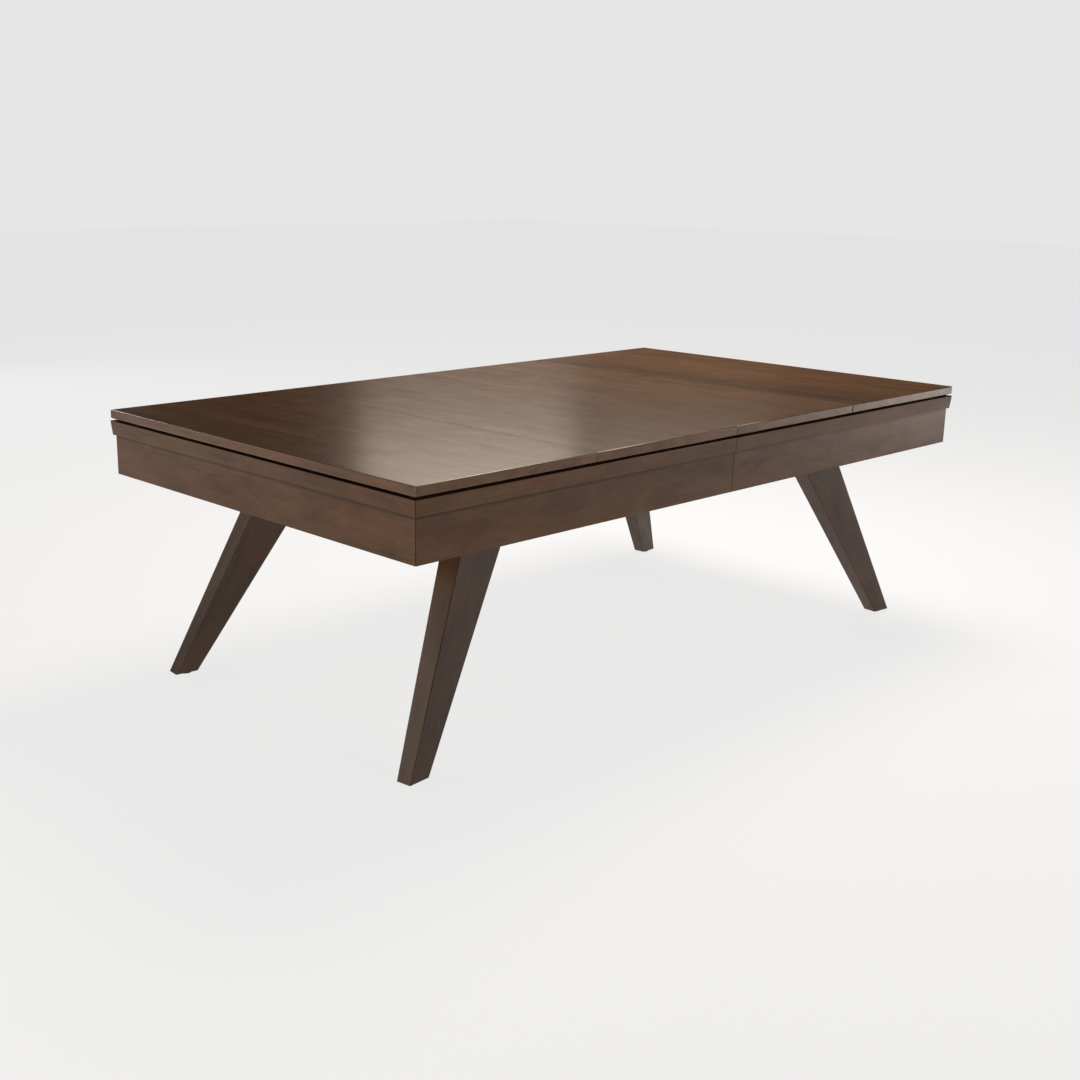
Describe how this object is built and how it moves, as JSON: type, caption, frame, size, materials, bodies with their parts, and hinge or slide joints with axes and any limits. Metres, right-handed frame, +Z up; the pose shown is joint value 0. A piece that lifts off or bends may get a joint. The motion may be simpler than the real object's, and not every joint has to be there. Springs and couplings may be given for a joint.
{
  "type": "pool table",
  "caption": "Slate-bed pool table with splayed tapered legs, drop pockets and a lift-off wooden dining top in panels.",
  "frame": {"origin": "on the floor under the middle of the table", "axes": "+X along the table's length, +Y across it, +Z up"},
  "size_m": [2.568, 1.451, 0.855],
  "materials": {
    "walnut": "dark walnut stain under satin lacquer",
    "frame_wood": "planed, unfinished poplar",
    "strip_wood": "planed",
    "slate": "honed slate",
    "cloth": "napped worsted billiard cloth",
    "cushion_rubber": "natural gum rubber",
    "felt": "pressed felt",
    "pocket_leather": "dark saddle leather",
    "sight_inlay": "pearl inlay",
    "plated_steel": "zinc plated",
    "black_steel": "black powder coat",
    "brass_fastener": "plain brass"
  },
  "bodies": {
    "table": {"apron_back_left": "walnut", "apron_back_right": "walnut", "apron_brackets": "plated_steel", "apron_front_left": "walnut", "apron_front_right": "walnut", "apron_left_end": "walnut", "apron_right_end": "walnut", "bed_cloth": "cloth", "cushion_back_left": "cushion_rubber", "cushion_back_right": "cushion_rubber", "cushion_cloths": "cloth", "cushion_front_left": "cushion_rubber", "cushion_front_right": "cushion_rubber", "cushion_left_end": "cushion_rubber", "cushion_right_end": "cushion_rubber", "end_beam_left": "frame_wood", "end_beam_right": "frame_wood", "feather_strips": "strip_wood", "leg_back_left": "walnut", "leg_back_right": "walnut", "leg_beams": "frame_wood", "leg_bolts": "plated_steel", "leg_front_left": "walnut", "leg_front_right": "walnut", "leg_plates": "black_steel", "leveller_inserts": "brass_fastener", "pocket_back_left": "pocket_leather", "pocket_back_right": "pocket_leather", "pocket_back_side": "pocket_leather", "pocket_front_left": "pocket_leather", "pocket_front_right": "pocket_leather", "pocket_front_side": "pocket_leather", "pocket_screws": "brass_fastener", "rail_back_left": "walnut", "rail_back_right": "walnut", "rail_bolts": "plated_steel", "rail_front_left": "walnut", "rail_front_right": "walnut", "rail_left_end": "walnut", "rail_right_end": "walnut", "rail_sights": "sight_inlay", "seam_beams": "frame_wood", "side_beam_back": "frame_wood", "side_beam_front": "frame_wood", "slate_left": "slate", "slate_middle": "slate", "slate_right": "slate", "slate_screws": "plated_steel"},
    "top_left_end": {"dining_panel_left_end": "walnut", "pads_left_end": "felt"},
    "top_left_middle": {"dining_panel_left_middle": "walnut", "pads_left_middle": "felt"},
    "top_right_middle": {"dining_panel_right_middle": "walnut", "pads_right_middle": "felt"},
    "top_right_end": {"dining_panel_right_end": "walnut", "pads_right_end": "felt"},
    "foot_front_left": {"leveller_front_left": "black_steel"},
    "foot_front_right": {"leveller_front_right": "black_steel"},
    "foot_back_left": {"leveller_back_left": "black_steel"},
    "foot_back_right": {"leveller_back_right": "black_steel"}
  },
  "joints": [
    {"name": "top_left_end_lift", "type": "slide", "parent": "table", "child": "top_left_end", "axis": [0, 0, 1], "range_m": [0, 0.3]},
    {"name": "top_left_middle_lift", "type": "slide", "parent": "table", "child": "top_left_middle", "axis": [0, 0, 1], "range_m": [0, 0.3]},
    {"name": "top_right_middle_lift", "type": "slide", "parent": "table", "child": "top_right_middle", "axis": [0, 0, 1], "range_m": [0, 0.3]},
    {"name": "top_right_end_lift", "type": "slide", "parent": "table", "child": "top_right_end", "axis": [0, 0, 1], "range_m": [0, 0.3]},
    {"name": "foot_front_left_screw", "type": "slide", "parent": "table", "child": "foot_front_left", "axis": [0, 0, -1], "range_m": [0, 0.012]},
    {"name": "foot_front_right_screw", "type": "slide", "parent": "table", "child": "foot_front_right", "axis": [0, 0, -1], "range_m": [0, 0.012]},
    {"name": "foot_back_left_screw", "type": "slide", "parent": "table", "child": "foot_back_left", "axis": [0, 0, -1], "range_m": [0, 0.012]},
    {"name": "foot_back_right_screw", "type": "slide", "parent": "table", "child": "foot_back_right", "axis": [0, 0, -1], "range_m": [0, 0.012]}
  ]
}
